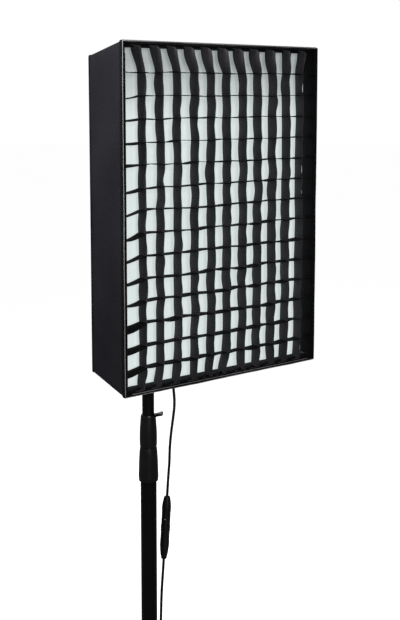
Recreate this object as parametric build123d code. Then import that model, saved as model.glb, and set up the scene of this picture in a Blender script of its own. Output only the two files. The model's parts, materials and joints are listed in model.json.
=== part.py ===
from build123d import *
import math
import os

# Monolight strobe with a shallow gridded softbox on a folding riser stand, millimetres.
# Origin: on the floor, on the stand's column axis. +Z is up, the light faces -Y.

# ---------------------------------------------------------------- driving dimensions
COLUMN_OD, COLUMN_ID = 35.0, 32.0
MID_OD, MID_ID = 30.0, 27.0
TOP_OD, TOP_ID = 26.0, 23.0
COLUMN_Z = (84.0, 830.0)
MID_Z = (196.0, 902.0)
TOP_Z = (420.0, 1215.0)
COLLAR_LOW_Z = (801.0, 876.0)
COLLAR_UP_Z = (876.4, 947.0)
RUN = 0.05                      # radial running clearance of guides, sleeves and screws
KNOB_LOW_Z, KNOB_UP_Z = 850.0, 941.5
VIEW_RIGHT = (0.756, -0.654, 0.0)
VIEW_BACK = (0.654, 0.756, 0.0)
KNOB_LIFT = 14.0                # degrees the upper clamp screw points upward
WING_SECTIONS = [(18.6, 9, 7.6), (22.5, 13, 6.8), (27.5, 22, 5.6), (31.5, 23, 4.6), (32.6, 19, 3.0)]

LEG_TUBE_R, LEG_WALL = 10.0, 1.6
LEG_ELBOW, LEG_REACH = 90.0, 440.0
SLEEVE_R, SLEEVE_H = 24.0, 28.6
SLEEVE_Z = {"fixed": 98.0, "right": 128.5, "left": 159.0}
LEG_AZIMUTH = {"fixed": -90.0, "right": 30.0, "left": 150.0}
FOOT_R, FOOT_H = 15.0, 30.0

PIN_R, PIN_Z = 8.0, (1221.0, 1271.0)
PIVOT_Z, PIVOT_R = 1328.0, 4.0
BLOCK = 36.0                    # bracket block, square in plan
BLOCK_Z = (1221.4, 1312.0)
EAR_R, EAR_IN, EAR_OUT = 14.0, 10.0, 18.0
UMBRELLA_R, UMBRELLA_Z = 4.2, 1296.0

AXIS_Z = 1400.0                 # optical axis
HEAD_W, HEAD_H, HEAD_WALL, HEAD_ROUND = 110.0, 100.0, 2.5, 16.0
HEAD_Y = (-62.0, 100.0)
BAYONET_R, BAYONET_BORE = 49.0, 42.0
INSERT_R, RING_R = 58.0, 70.0
DOME_R, DOME_TIP = 32.0, -114.0

FRONT_HALF = (250.0, 325.0)     # softbox half width and half height at the front edge
REAR_HALF = (228.0, 303.0)      # the same where the side walls meet the rear panels
FRONT_Y, REAR_Y, NECK_Y = -247.0, -117.0, -92.0
NECK_HALF = 75.0
SKIN = 1.2
BINDING = 4.0
GRID_HALF = (242.5, 308.5)
GRID_Y = (-242.0, -218.0)
GRID_CELLS = (12, 15)
STRIP = 0.8

CORD_R = 3.0
EYE_R = 6.5                     # outside radius of the two cord clips
GLAND_XY = (39.5, 30.0)         # where the lead leaves the head
CLIP_XY = (46.0, 4.0)           # cord clip on the bracket
RISER_CLIP_X = 40.0             # cord clip on the top riser
COUPLER_TOP, COUPLER_BOTTOM = (51.8, 0.0, 752.0), (41.5, 0.0, 612.0)
COUPLER_LEAN = (COUPLER_TOP[0] - COUPLER_BOTTOM[0]) / (COUPLER_TOP[2] - COUPLER_BOTTOM[2])
COIL_CENTRE, COIL_MID_R = (83.0, 300.0), 33.0
COIL_WIDE, COIL_HIGH = 19.5, 18.6
PLUG_START = (42.0, 318.0, 15.2)

os.makedirs("parts", exist_ok=True)


# ---------------------------------------------------------------- helpers
def save(name, *solids):
    """Write one node, as one solid or a group of separate ones."""
    shape = solids[0] if len(solids) == 1 else Compound(children=list(solids))
    export_step(shape, f"parts/{name}.step")


def turned(points):
    """A body of revolution about Z from its closed (radius, height) outline."""
    outline = Plane.XZ * make_face(Polyline(*points, close=True))
    return revolve(outline, Axis.Z)


def ring(outer, inner, low, high):
    """A plain ring about Z between two heights."""
    return turned([(inner, low), (outer, low), (outer, high), (inner, high)])


def rod(radius, start, end):
    """A round bar between two points."""
    span = Vector(*end) - Vector(*start)
    bar = Cylinder(radius, span.length, align=(Align.CENTER, Align.CENTER, Align.MIN))
    return Plane(origin=start, z_dir=span).location * bar


def block(low, high):
    """A box between two opposite corners."""
    size = [b - a for a, b in zip(low, high)]
    return Pos(*low) * Box(*size, align=(Align.MIN, Align.MIN, Align.MIN))


def facing(shape, y=0.0, x=0.0, z=AXIS_Z):
    """Turn a part built along +Z so that it runs along +Y from the given point."""
    return Pos(x, y, z) * Rot(-90, 0, 0) * shape


def out(direction, distance, z):
    """The point at a distance from the column axis along a horizontal direction."""
    return (direction[0] * distance, direction[1] * distance, z)


# ---------------------------------------------------------------- stand
def leg_path(azimuth, z):
    """Centre line of a bent leg, from inside its sleeve to the foot."""
    a = math.radians(azimuth)
    def at(r, h):
        return (r * math.cos(a), r * math.sin(a), h)
    return FilletPolyline(at(20, z), at(LEG_ELBOW, z), at(LEG_REACH, 22), radius=70)


def leg(key):
    """One leg tube welded to the sleeve that goes round the column."""
    low = SLEEVE_Z[key]
    path = leg_path(LEG_AZIMUTH[key], low + SLEEVE_H / 2)
    start = Plane(origin=path @ 0, z_dir=path % 0)
    tube = sweep(start * (Circle(LEG_TUBE_R) - Circle(LEG_TUBE_R - LEG_WALL)), path=path)
    full = sweep(start * Circle(LEG_TUBE_R), path=path)
    bore = COLUMN_OD / 2 + (0 if key == "fixed" else RUN)
    sleeve = turned([
        (bore, low), (SLEEVE_R - 2, low), (SLEEVE_R, low + 2),
        (SLEEVE_R, low + SLEEVE_H - 2), (SLEEVE_R - 2, low + SLEEVE_H), (bore, low + SLEEVE_H),
    ])
    shaft = Pos(0, 0, low - 5) * Cylinder(bore, SLEEVE_H + 10, align=(Align.CENTER, Align.CENTER, Align.MIN))
    end = path @ 1
    puck = Pos(end.X, end.Y, 0) * turned([(0, 0), (FOOT_R - 1, 0), (FOOT_R, 2), (FOOT_R - 1, FOOT_H), (0, FOOT_H)])
    return sleeve + (tube - shaft), puck - full


def clamp_screw(origin, direction, tip, shoulder, hub, bar_along, bar_length, bar_r):
    """A clamp screw with a cross bar, its distances counted from the column axis."""
    d = Vector(*direction).normalized()
    o = Vector(*origin)
    def at(distance):
        return tuple(o + d * distance)
    half = Vector(*bar_along).normalized() * (bar_length / 2)
    centre = o + d * (hub - bar_r - 1)
    bar = rod(bar_r, tuple(centre - half), tuple(centre + half))
    bar = bar + Pos(*tuple(centre - half)) * Sphere(bar_r) + Pos(*tuple(centre + half)) * Sphere(bar_r)
    return rod(3, at(tip), at(shoulder + 2)) + rod(4.6, at(shoulder), at(hub)) + bar


def wing_screw(origin, direction, across, sections):
    """A clamp screw with a tapered wing, its sections given as (distance, width, thickness)."""
    def at(distance):
        return origin + direction * distance
    wing = loft([
        Plane(origin=at(distance), x_dir=Vector(*across), z_dir=direction) * RectangleRounded(wide, thick, thick * 0.45)
        for distance, wide, thick in sections
    ])
    return rod(3, tuple(at(14.4)), tuple(at(19.5))) + wing


def stand():
    column = ring(COLUMN_OD / 2, COLUMN_ID / 2, *COLUMN_Z)
    column = column + turned([(0, 84), (COLUMN_OD / 2, 84), (COLUMN_OD / 2, 90), (0, 90)])
    column = column + ring(SLEEVE_R - 1, COLUMN_OD / 2, 188.1, 200) + ring(SLEEVE_R - 1, COLUMN_OD / 2, 84, 97.5)
    save("base_column", column)
    for key in SLEEVE_Z:
        tube, foot = leg(key)
        save(f"leg_{key}", tube)
        save(f"foot_{key}", foot)

    low, high = COLLAR_LOW_Z
    collar = turned([
        (COLUMN_OD / 2, low), (20.9, low), (20.9, low + 5), (21.6, low + 6), (21.5, low + 12), (20.6, low + 44),
        (19.3, high - 9), (18.2, high), (MID_OD / 2 + RUN, high), (MID_OD / 2 + RUN, COLUMN_Z[1]),
        (COLUMN_OD / 2, COLUMN_Z[1]),
    ])
    boss = rod(8, out(VIEW_BACK, 16.5, KNOB_LOW_Z), out(VIEW_BACK, 26, KNOB_LOW_Z))
    hole = rod(3 + RUN, out(VIEW_BACK, 10, KNOB_LOW_Z), out(VIEW_BACK, 30, KNOB_LOW_Z))
    save("collar_lower", collar + boss - hole)
    origin = (0, 0, KNOB_LOW_Z)
    save("knob_lower", clamp_screw(origin, VIEW_BACK, 15.4, 26.5, 42, (0, 0, 1), 46, 3.6))

    save("riser_mid", ring(MID_OD / 2, MID_ID / 2, *MID_Z))
    low, high = COLLAR_UP_Z
    collar = turned([
        (MID_OD / 2, low), (17.9, low), (17.9, low + 2), (18.7, low + 3.5), (18.9, low + 22), (18.6, low + 34),
        (17.5, low + 52), (16.3, high - 3.5), (15.4, high), (TOP_OD / 2 + RUN, high), (TOP_OD / 2 + RUN, MID_Z[1]),
        (MID_OD / 2, MID_Z[1]),
    ])
    lift = math.radians(KNOB_LIFT)
    slant = Vector(*VIEW_RIGHT) * math.cos(lift) + Vector(0, 0, math.sin(lift))
    start = Vector(0, 0, KNOB_UP_Z)
    boss = rod(4.4, tuple(start + slant * 14.7), tuple(start + slant * 18))
    hole = rod(3 + RUN, tuple(start + slant * 8), tuple(start + slant * 24))
    save("collar_upper", collar + boss - hole)
    save("knob_upper", wing_screw(start, slant, VIEW_BACK, WING_SECTIONS))

    tube = ring(TOP_OD / 2, TOP_ID / 2, *TOP_Z)
    save("riser_top", tube)
    pin = turned([
        (0, 1195), (TOP_ID / 2, 1195), (TOP_ID / 2, TOP_Z[1]), (14, TOP_Z[1]), (14, PIN_Z[0]), (PIN_R, PIN_Z[0]),
        (PIN_R, 1238), (6.6, 1240), (6.6, 1252), (PIN_R, 1254), (PIN_R, 1269.5), (6.5, PIN_Z[1]), (0, PIN_Z[1]),
    ])
    save("spigot", pin)
    band = ring(15.5, TOP_OD / 2, 1160, 1172)
    arm = block((14, -3.5, 1162), (RISER_CLIP_X - 2.5, 3.5, 1170))
    eye = Pos(RISER_CLIP_X, 0, 0) * ring(EYE_R, CORD_R + 0.3, 1161, 1171)
    gap = Pos(RISER_CLIP_X, 0, 1166) * Cylinder(CORD_R + 0.3, 20)
    save("riser_clip", band + (arm - gap) + eye)


# ---------------------------------------------------------------- tilting bracket
def knob(radius, length, lobes):
    """A lobed hand knob along +Z."""
    body = Cylinder(radius, length, align=(Align.CENTER, Align.CENTER, Align.MIN))
    for i in range(lobes):
        a = 2 * math.pi * i / lobes
        body -= Pos(radius * 1.12 * math.cos(a), radius * 1.12 * math.sin(a), -1) * Cylinder(
            radius * 0.26, length + 2, align=(Align.CENTER, Align.CENTER, Align.MIN))
    return body


def bracket():
    half = BLOCK / 2
    body = block((-half, -half, BLOCK_Z[0]), (half, half, BLOCK_Z[1]))
    body = fillet(body.edges().filter_by(Axis.Z), 6)
    ears = rod(EAR_R, (-EAR_OUT, 0, PIVOT_Z), (EAR_OUT, 0, PIVOT_Z))
    ears += block((-EAR_OUT, -EAR_R, BLOCK_Z[1] - 4), (EAR_OUT, EAR_R, PIVOT_Z))
    ears -= block((-EAR_IN, -30, BLOCK_Z[1]), (EAR_IN, 30, PIVOT_Z + 30))
    body += ears
    body -= rod(PIVOT_R, (-30, 0, PIVOT_Z), (30, 0, PIVOT_Z))
    body -= rod(PIN_R + RUN, (0, 0, 1200), (0, 0, 1273))
    body -= rod(UMBRELLA_R, (0, -30, UMBRELLA_Z), (0, 30, UMBRELLA_Z))
    body -= rod(3 + RUN, (-30, 0, 1246), (0, 0, 1246))
    body -= rod(2.5 + RUN, (-30, 0, UMBRELLA_Z), (-2, 0, UMBRELLA_Z))
    arm = block((half - 1, -4, 1228), (CLIP_XY[0] - 2.5, 4, 1236))
    gap = Pos(*CLIP_XY, 1232) * Cylinder(CORD_R + 0.3, 20)
    eye = Pos(*CLIP_XY, 0) * ring(EYE_R, CORD_R + 0.3, 1227, 1237)
    save("bracket", body + (arm - gap) + eye)

    bolt = rod(PIVOT_R, (-EAR_OUT, 0, PIVOT_Z), (21, 0, PIVOT_Z))
    nut = Pos(-EAR_OUT - 6, 0, PIVOT_Z) * Rot(0, 90, 0) * extrude(RegularPolygon(7.5, 6), amount=6)
    save("tilt_bolt", bolt + nut)

    grip = Pos(-44, 0, 1246) * Rot(0, 90, 0) * knob(15, 14, 7)
    save("socket_knob", grip + rod(6, (-30.2, 0, 1246), (-18.5, 0, 1246)) + rod(3, (-19, 0, 1246), (-8.5, 0, 1246)))
    grip = Pos(-34, 0, UMBRELLA_Z) * Rot(0, 90, 0) * knob(8, 12, 6)
    save("umbrella_screw", grip + rod(2.5, (-23, 0, UMBRELLA_Z), (-4.8, 0, UMBRELLA_Z)))

    hub = rod(9, (21.4, 0, PIVOT_Z), (33, 0, PIVOT_Z))
    handle = loft([
        Plane(origin=(26.8, 2, PIVOT_Z - 6), z_dir=(0, 0.22, -1)) * RectangleRounded(8, 9, 2.5),
        Plane(origin=(27.2, 13, PIVOT_Z - 58), z_dir=(0, 0.22, -1)) * RectangleRounded(7.2, 13, 3),
    ])
    save("tilt_lever", hub + handle)


# ---------------------------------------------------------------- strobe head
def shell_section(grow=0.0):
    return RectangleRounded(HEAD_W + 2 * grow, HEAD_H + 2 * grow, HEAD_ROUND + grow)


def along_y(sketch, y0, y1):
    """Extrude a sketch drawn in the X-Z plane about the optical axis from y0 to y1."""
    plane = Plane(origin=(0, y0, AXIS_Z), x_dir=(1, 0, 0), z_dir=(0, 1, 0))
    return extrude(plane * sketch, amount=y1 - y0)


def disc_ring(outer, inner, y0, y1):
    return along_y(Circle(outer) - Circle(inner), y0, y1)


def head():
    tube = along_y(shell_section(), *HEAD_Y) - along_y(shell_section(-HEAD_WALL), HEAD_Y[0] - 1, HEAD_Y[1] + 1)
    for side in (-1, 1):
        for i in range(6):
            y = 8 + i * 13
            tube -= block((side * 54 - 4, y, AXIS_Z + 8), (side * 54 + 4, y + 6, AXIS_Z + 30))
    slot = block((-3, -58, AXIS_Z + 40), (3, -36, AXIS_Z + 60))
    top = tube & block((-80, -80, AXIS_Z), (80, 120, AXIS_Z + 80))
    low = tube & block((-80, -80, AXIS_Z - 80), (80, 120, AXIS_Z))
    save("shell_upper", top - slot)
    save("shell_lower", low - rod(6.5, (*GLAND_XY, AXIS_Z - 60), (*GLAND_XY, AXIS_Z - 40)))
    slider = block((-9, -57, AXIS_Z + 50.4), (9, -44, AXIS_Z + 55))
    slider += block((-2.6, -56, AXIS_Z + 44), (2.6, -46, AXIS_Z + 51))
    save("bayonet_release", slider)

    foot = block((-26, -24, AXIS_Z - 56), (26, 24, AXIS_Z - 50))
    foot = fillet(foot.edges().filter_by(Axis.Z), 5)
    tongue = rod(EAR_R, (-9.6, 0, PIVOT_Z), (9.6, 0, PIVOT_Z))
    tongue += block((-9.6, -EAR_R, PIVOT_Z), (9.6, EAR_R, AXIS_Z - 52))
    save("mount_foot", foot + tongue - rod(PIVOT_R + RUN, (-20, 0, PIVOT_Z), (20, 0, PIVOT_Z)))

    save("front_plate", along_y(shell_section(), HEAD_Y[0] - 4, HEAD_Y[0]))
    lugs = disc_ring(BAYONET_R, BAYONET_BORE, -84, -66)
    save("bayonet_ring", lugs)
    save("ring_insert", disc_ring(INSERT_R, BAYONET_R, -87.5, -72))
    dome = rod(DOME_R, (0, DOME_TIP + DOME_R, AXIS_Z), (0, -66, AXIS_Z)) + Pos(0, DOME_TIP + DOME_R, AXIS_Z) * Sphere(DOME_R)
    hollow = rod(DOME_R - 2, (0, DOME_TIP + DOME_R, AXIS_Z), (0, -60, AXIS_Z))
    hollow += Pos(0, DOME_TIP + DOME_R, AXIS_Z) * Sphere(DOME_R - 2)
    behind = block((-50, -66, AXIS_Z - 50), (50, 0, AXIS_Z + 50))
    save("glass_dome", dome - hollow - behind)
    tube = facing(Torus(20, 3), y=-86)
    for x in (-20, 20):
        tube += rod(3, (x, -86, AXIS_Z), (x, -66, AXIS_Z))
    bulb = rod(5, (0, -78, AXIS_Z), (0, -66, AXIS_Z)) + Pos(0, -86, AXIS_Z) * Sphere(9.5)
    save("flash_tube_and_lamp", tube, bulb)

    cans = [rod(17, (-28, -35, AXIS_Z + z), (-28, 42, AXIS_Z + z)) for z in (-22, 22)]
    board = block((2, -40, AXIS_Z - 40), (4, 70, AXIS_Z + 40))
    for y, z in ((-20, -20), (10, 12), (40, -8)):
        board += block((4, y - 8, AXIS_Z + z - 8), (18, y + 8, AXIS_Z + z + 8))
    save("power_electronics", board, *cans)
    blades = rod(7, (28, 80, AXIS_Z + 12), (28, 92, AXIS_Z + 12))
    for i in range(7):
        blade = Rot(0, 0, i * 360 / 7) * Pos(14, 0, 0) * Rot(38, 0, 0) * Box(16, 11, 1.4)
        blades += Pos(28, 86, AXIS_Z + 12) * Rot(-90, 0, 0) * blade
    save("fan_rotor", blades)

    panel = along_y(shell_section(), HEAD_Y[1], HEAD_Y[1] + 5)
    for i in range(7):
        panel -= block((9, 95, AXIS_Z - 7 + i * 6), (47, 110, AXIS_Z - 4 + i * 6))
    panel -= block((-45, 98, AXIS_Z + 10), (-7, 120, AXIS_Z + 34))
    panel -= rod(3 + RUN, (-28, 90, AXIS_Z - 12), (-28, 120, AXIS_Z - 12))
    panel -= block((8, 90, AXIS_Z - 40), (30, 120, AXIS_Z - 26))
    panel -= rod(4, (40, 90, AXIS_Z - 33), (40, 120, AXIS_Z - 33))
    panel -= rod(4, (-40, 90, AXIS_Z - 36), (-40, 120, AXIS_Z - 36))
    panel -= rod(3.5, (-8, 90, AXIS_Z - 36), (-8, 120, AXIS_Z - 36))
    save("rear_panel", panel)
    save("display_window", block((-45, 101.5, AXIS_Z + 10), (-7, 104, AXIS_Z + 34)))
    dial = facing(knob(11, 9, 12), y=105.5, x=-28, z=AXIS_Z - 12)
    save("power_dial", dial + rod(3, (-28, 96, AXIS_Z - 12), (-28, 106, AXIS_Z - 12)))
    save("test_button", rod(3.6, (-40, 97, AXIS_Z - 36), (-40, 107.5, AXIS_Z - 36)))
    rocker = rod(6.4, (9, 101, AXIS_Z - 33), (29, 101, AXIS_Z - 33)) - block((0, 80, 1340), (40, 99, 1400))
    save("power_switch", rocker)
    jack = rod(3.5, (-8, 98, AXIS_Z - 36), (-8, 107, AXIS_Z - 36)) - rod(1.8, (-8, 100, AXIS_Z - 36), (-8, 110, AXIS_Z - 36))
    eye = rod(4, (40, 99, AXIS_Z - 33), (40, 106, AXIS_Z - 33)) + Pos(40, 106, AXIS_Z - 33) * Sphere(4)
    save("rear_sockets", jack, eye)

    grip = FilletPolyline((0, -14, 1448), (0, -14, 1479), (0, 62, 1479), (0, 62, 1448), radius=14)
    bar = sweep(Plane(origin=grip @ 0, z_dir=grip % 0) * RectangleRounded(20, 11, 4.5), path=grip)
    save("carry_handle", bar - along_y(shell_section(), -90, 120))

    gland = Pos(*GLAND_XY, 0) * turned([
        (CORD_R, 1322), (4.3, 1322), (5.5, 1342), (7.6, 1342), (7.6, 1350), (6.4, 1350), (6.4, 1356), (CORD_R, 1356),
    ])
    save("cord_gland", gland)


# ---------------------------------------------------------------- softbox
def slab(points, thickness, direction):
    """A flat panel of fabric, from its outer outline and the way its thickness goes."""
    return extrude(make_face(Polyline(*points, close=True)), amount=thickness, dir=direction)


def softbox():
    (fw, fh), (rw, rh) = FRONT_HALF, REAR_HALF
    edge = FRONT_Y + BINDING
    near = (edge - REAR_Y) / (FRONT_Y - REAR_Y)
    ew, eh = rw + (fw - rw) * near, rh + (fh - rh) * near
    for name, s in (("left", -1), ("right", 1)):
        wall = slab([
            (s * rw, REAR_Y, AXIS_Z - rh), (s * ew, edge, AXIS_Z - eh),
            (s * ew, edge, AXIS_Z + eh), (s * rw, REAR_Y, AXIS_Z + rh),
        ], SKIN, (-s, 0, 0))
        save(f"skin_{name}", wall)
    lap = SKIN + 0.2
    for name, s in (("bottom", -1), ("top", 1)):
        wall = slab([
            (lap - rw, REAR_Y, AXIS_Z + s * rh), (lap - ew, edge, AXIS_Z + s * eh),
            (ew - lap, edge, AXIS_Z + s * eh), (rw - lap, REAR_Y, AXIS_Z + s * rh),
        ], SKIN, (0, 0, -s))
        save(f"skin_{name}", wall)

    n = NECK_HALF
    outer = [(-rw, -rh), (rw, -rh), (rw, rh), (-rw, rh)]
    inner = [(-n, -n), (n, -n), (n, n), (-n, n)]
    panels = None
    for i in range(4):
        j = (i + 1) % 4
        points = [
            (outer[i][0], REAR_Y, AXIS_Z + outer[i][1]), (outer[j][0], REAR_Y, AXIS_Z + outer[j][1]),
            (inner[j][0], NECK_Y, AXIS_Z + inner[j][1]), (inner[i][0], NECK_Y, AXIS_Z + inner[i][1]),
        ]
        piece = slab(points, SKIN, (0, 1, 0))
        panels = piece if panels is None else panels + piece
    collar = along_y(Rectangle(2 * n, 2 * n) - Circle(RING_R), NECK_Y, NECK_Y + SKIN)
    save("skin_rear", panels + collar)

    ring_body = disc_ring(RING_R, INSERT_R + RUN, -88, -74) + disc_ring(RING_R, 50, -91, -88)
    rods = []
    for sx in (-1, 1):
        for sz in (-1, 1):
            points = [
                (sx * 42, -99.5, AXIS_Z + sz * 48), (sx * 214, -128.5, AXIS_Z + sz * 286),
                (sx * 241.5, -232, AXIS_Z + sz * 316.5),
            ]
            line = FilletPolyline(*points, radius=26)
            rods.append(sweep(Plane(origin=line @ 0, z_dir=line % 0) * Circle(3), path=line))
            way = (Vector(*points[1]) - Vector(*points[0])).normalized()
            tip = tuple(Vector(*points[0]) + way * 30)
            back = tuple(Vector(*points[0]) - way * 2)
            web = rod(5.5, (points[0][0], -90, points[0][2]), points[0])
            boss = rod(6.8, back, tip) + web - rod(3, points[0], tuple(Vector(*tip) + way * 4))
            ring_body += boss
    ring_body -= rod(2.5 + RUN, (0, -81, AXIS_Z - 80), (0, -81, AXIS_Z - 50))
    save("speed_ring", ring_body)
    save("rods", *rods)
    grip = Pos(0, -81, AXIS_Z - 96) * knob(8, 14, 6)
    save("ring_lock_screw", grip + rod(2.5, (0, -81, AXIS_Z - 84), (0, -81, AXIS_Z - INSERT_R - 0.4)))

    save("inner_baffle", along_y(RectangleRounded(408, 556, 18), -166, -165.2))
    save("front_diffuser", along_y(Rectangle(484, 616), -217, -216))

    gw, gh = GRID_HALF
    frame = along_y(Rectangle(2 * gw, 2 * gh) - Rectangle(2 * gw - 4, 2 * gh - 4), *GRID_Y)
    columns, rows = GRID_CELLS
    lattice = Sketch()
    for i in range(1, columns):
        lattice += Pos(-gw + 2 * gw * i / columns, 0) * Rectangle(STRIP, 2 * gh - 3)
    for i in range(1, rows):
        lattice += Pos(0, -gh + 2 * gh * i / rows) * Rectangle(2 * gw - 3, STRIP)
    save("grid", frame + along_y(lattice, *GRID_Y))

    rim = along_y(Rectangle(2 * fw + 3, 2 * fh + 3) - Rectangle(2 * fw - 8, 2 * fh - 8), FRONT_Y, edge)
    lip = along_y(Rectangle(2 * ew - 3, 2 * eh - 3) - Rectangle(2 * gw - 2, 2 * gh - 3), FRONT_Y + 2.8, edge)
    save("front_binding", rim + lip)


# ---------------------------------------------------------------- lead
def cord_tube(name, points):
    """A tube of straight runs joined by the largest arcs that fit, one radius for each corner."""
    route = [Vector(*p) for p in points]
    radii = []
    for before, here, after in zip(route, route[1:], route[2:]):
        turn = math.radians((here - before).get_angle(after - here))
        shorter = min((here - before).length, (after - here).length)
        radii.append(0.45 * shorter / math.tan(turn / 2))
    line = FilletPolyline(*points, radius=radii)
    tube = sweep(Plane(origin=line @ 0, z_dir=line % 0) * Circle(CORD_R), path=line)
    runs = sum((b - a).length for a, b in zip(route, route[1:]))
    print(name, "length", round(line.length, 1), "runs", round(runs, 1), "tightest", round(min(radii), 1),
          "volume ratio", round(tube.volume / (math.pi * CORD_R ** 2 * line.length), 4))
    save(name, tube)


TAIL_HEAD = [
    (*GLAND_XY, 1322), (*GLAND_XY, 1305), (40.8, 25.5, 1288), (43.6, 14, 1270), (*CLIP_XY, 1252), (*CLIP_XY, 1232),
]
TAIL_BRACKET = [(*CLIP_XY, 1232), (*CLIP_XY, 1215), (43.6, 2.4, 1200), (40, 0, 1184), (40, 0, 1166)]
LEAD_UPPER = [
    (40, 0, 1166), (40, 0, 1144), (46, 1, 1110), (57, 2, 1072), (66, 1, 1030), (71.5, 0, 990), (73.5, -1, 958),
    (69, -1, 928), (64, 0, 896), (60.5, 1, 862), (59.6, 1, 828),
    (COUPLER_TOP[0] + 38 * COUPLER_LEAN, 0, COUPLER_TOP[2] + 38), COUPLER_TOP,
]
LEAD_LOWER = [
    COUPLER_BOTTOM, (COUPLER_BOTTOM[0] - 29 * COUPLER_LEAN, 0, COUPLER_BOTTOM[2] - 29), (37.2, 1.5, 548),
    (37, 4, 508), (40, 9, 468), (44, 16, 426), (48, 24, 384), (51, 32, 342), (53, 39, 300), (54.5, 45, 258),
    (55.3, 51, 216), (55.6, 57, 174), (55.5, 63.5, 133), (55, 72, 95), (54.5, 86, 59), (54.5, 109, 28),
    (55, 142, 9), (55, 180, 3.8), (53.5, 216, 3.2), (51, 246, 3.2), (50, 278, 3.1),
]


def lead():
    cord_tube("tail_cord_head", TAIL_HEAD)
    cord_tube("tail_cord_bracket", TAIL_BRACKET)
    cord_tube("lead_upper", LEAD_UPPER)
    cord_tube("lead_lower", LEAD_LOWER)

    axis = (Vector(*COUPLER_TOP) - Vector(*COUPLER_BOTTOM))
    place = Plane(origin=COUPLER_BOTTOM, z_dir=axis).location
    plug = turned([
        (0, 0), (6, 0), (6.6, 4), (7.9, 9), (8.8, 16), (9.5, 23), (10.2, 30), (10.2, 37), (9.8, 50), (9.8, 62),
        (8.6, 62), (8.6, 76), (0, 76),
    ])
    save("coupler_plug", place * plug)
    ring_part = ring(10.4, 8.6 + RUN, 62.4, 76)
    for i in range(16):
        a = 2 * math.pi * i / 16
        ring_part -= Pos(10.9 * math.cos(a), 10.9 * math.sin(a), 69.2) * Cylinder(0.9, 16)
    save("coupler_ring", place * ring_part)
    top = axis.length
    socket = turned([
        (0, 76.4), (9.8, 76.4), (9.8, top - 37), (10.2, top - 30), (10.2, top - 23), (9.4, top - 15),
        (8.2, top - 8), (7.2, top - 3), (6.4, top), (0, top),
    ])
    save("coupler_socket", place * socket)

    cx, cy = COIL_CENTRE
    ring_section = Pos(COIL_MID_R, COIL_HIGH / 2 + 0.1) * RectangleRounded(COIL_WIDE, COIL_HIGH, 6)
    coil = Pos(cx, cy, 0) * revolve(Plane.XZ * ring_section, Axis.Z)
    save("lead_coil", coil)

    px, py, pz = PLUG_START
    body = loft([
        Plane(origin=(px, py, pz), z_dir=(0, 1, 0)) * RectangleRounded(9, 9, 3),
        Plane(origin=(px + 2, py + 18, pz), z_dir=(0, 1, 0)) * RectangleRounded(20, 24, 7),
        Plane(origin=(px + 2, py + 36, pz), z_dir=(0, 1, 0)) * RectangleRounded(30, 28, 9),
    ])
    for x in (-9.5, 9.5):
        body += rod(2.4, (px + 2, py + 35, pz + x), (px + 2, py + 54, pz + x))
    save("mains_plug", body)


stand()
bracket()
head()
softbox()
lead()
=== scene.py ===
import json
import math
import random

import bpy
import numpy as np
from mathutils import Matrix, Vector


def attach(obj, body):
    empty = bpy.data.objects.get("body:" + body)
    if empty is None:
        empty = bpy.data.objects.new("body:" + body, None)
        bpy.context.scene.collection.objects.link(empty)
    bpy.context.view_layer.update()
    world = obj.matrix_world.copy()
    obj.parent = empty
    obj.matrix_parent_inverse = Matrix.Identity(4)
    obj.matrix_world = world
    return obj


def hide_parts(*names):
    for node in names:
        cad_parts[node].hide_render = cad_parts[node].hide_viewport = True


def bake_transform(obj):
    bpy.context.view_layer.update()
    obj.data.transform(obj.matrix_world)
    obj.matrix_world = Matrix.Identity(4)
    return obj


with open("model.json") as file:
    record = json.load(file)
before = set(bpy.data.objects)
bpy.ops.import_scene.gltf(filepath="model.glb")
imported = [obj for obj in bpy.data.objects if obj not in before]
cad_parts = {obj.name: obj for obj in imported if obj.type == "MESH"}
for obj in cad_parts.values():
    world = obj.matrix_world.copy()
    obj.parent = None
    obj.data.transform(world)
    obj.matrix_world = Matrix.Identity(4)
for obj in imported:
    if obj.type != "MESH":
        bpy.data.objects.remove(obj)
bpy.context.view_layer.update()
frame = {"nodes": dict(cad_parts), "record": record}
NODES = frame["nodes"]

# ---------------------------------------------------------------- sizes, in metres, in the row frame
AXIS_Z = 1.400                      # optical axis
FRONT_HALF = (0.250, 0.325)         # softbox half width and height at its front edge
REAR_HALF = (0.228, 0.303)
FRONT_Y, REAR_Y, NECK_Y = -0.247, -0.117, -0.092
NECK_R = 0.0715
WALL_START = 0.004                  # the side walls begin this far behind the front edge
CLOTH = 0.0012                      # thickness of the skin
TAPE_T, FACING_T, PANEL_T, STRIP_T, STRAP_T = 0.0008, 0.0009, 0.0007, 0.0010, 0.0011
CORNER_R, FACING_CORNER_R = 0.0035, 0.006
PIPING_HALF = (0.2501, 0.3251)      # centre line of the light piping
PIPING_Y, STITCH_Y = -0.2500, -0.2501
PIPING_R, STITCH_R = 0.0008, 0.0006
DIFFUSER_Y = -0.2165
COLUMNS, ROWS = 12, 15
GRID_HALF = (0.246, 0.3124)
ROW_PITCH = 0.0419
STRIP_DEPTH = 0.024
STRIP_END_Z, STRIP_END_TURN = 0.3182, 0.019     # where an upright strip is sewn down, and the width turned
CORD_D = 0.006


# ---------------------------------------------------------------- materials
def new_material(name, color, rough, **sockets):
    """A Principled material. Its uniform values are set on the shader's own sockets."""
    m = bpy.data.materials.new(name)
    m.use_nodes = True
    shader = m.node_tree.nodes["Principled BSDF"]
    shader.inputs["Base Color"].default_value = (*color, 1)
    shader.inputs["Roughness"].default_value = rough
    for key, value in sockets.items():
        shader.inputs[key.replace("_", " ")].default_value = value
    return m, m.node_tree.nodes, m.node_tree.links, shader


def coordinates(nodes):
    return nodes.new("ShaderNodeTexCoord").outputs["Object"]


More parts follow.
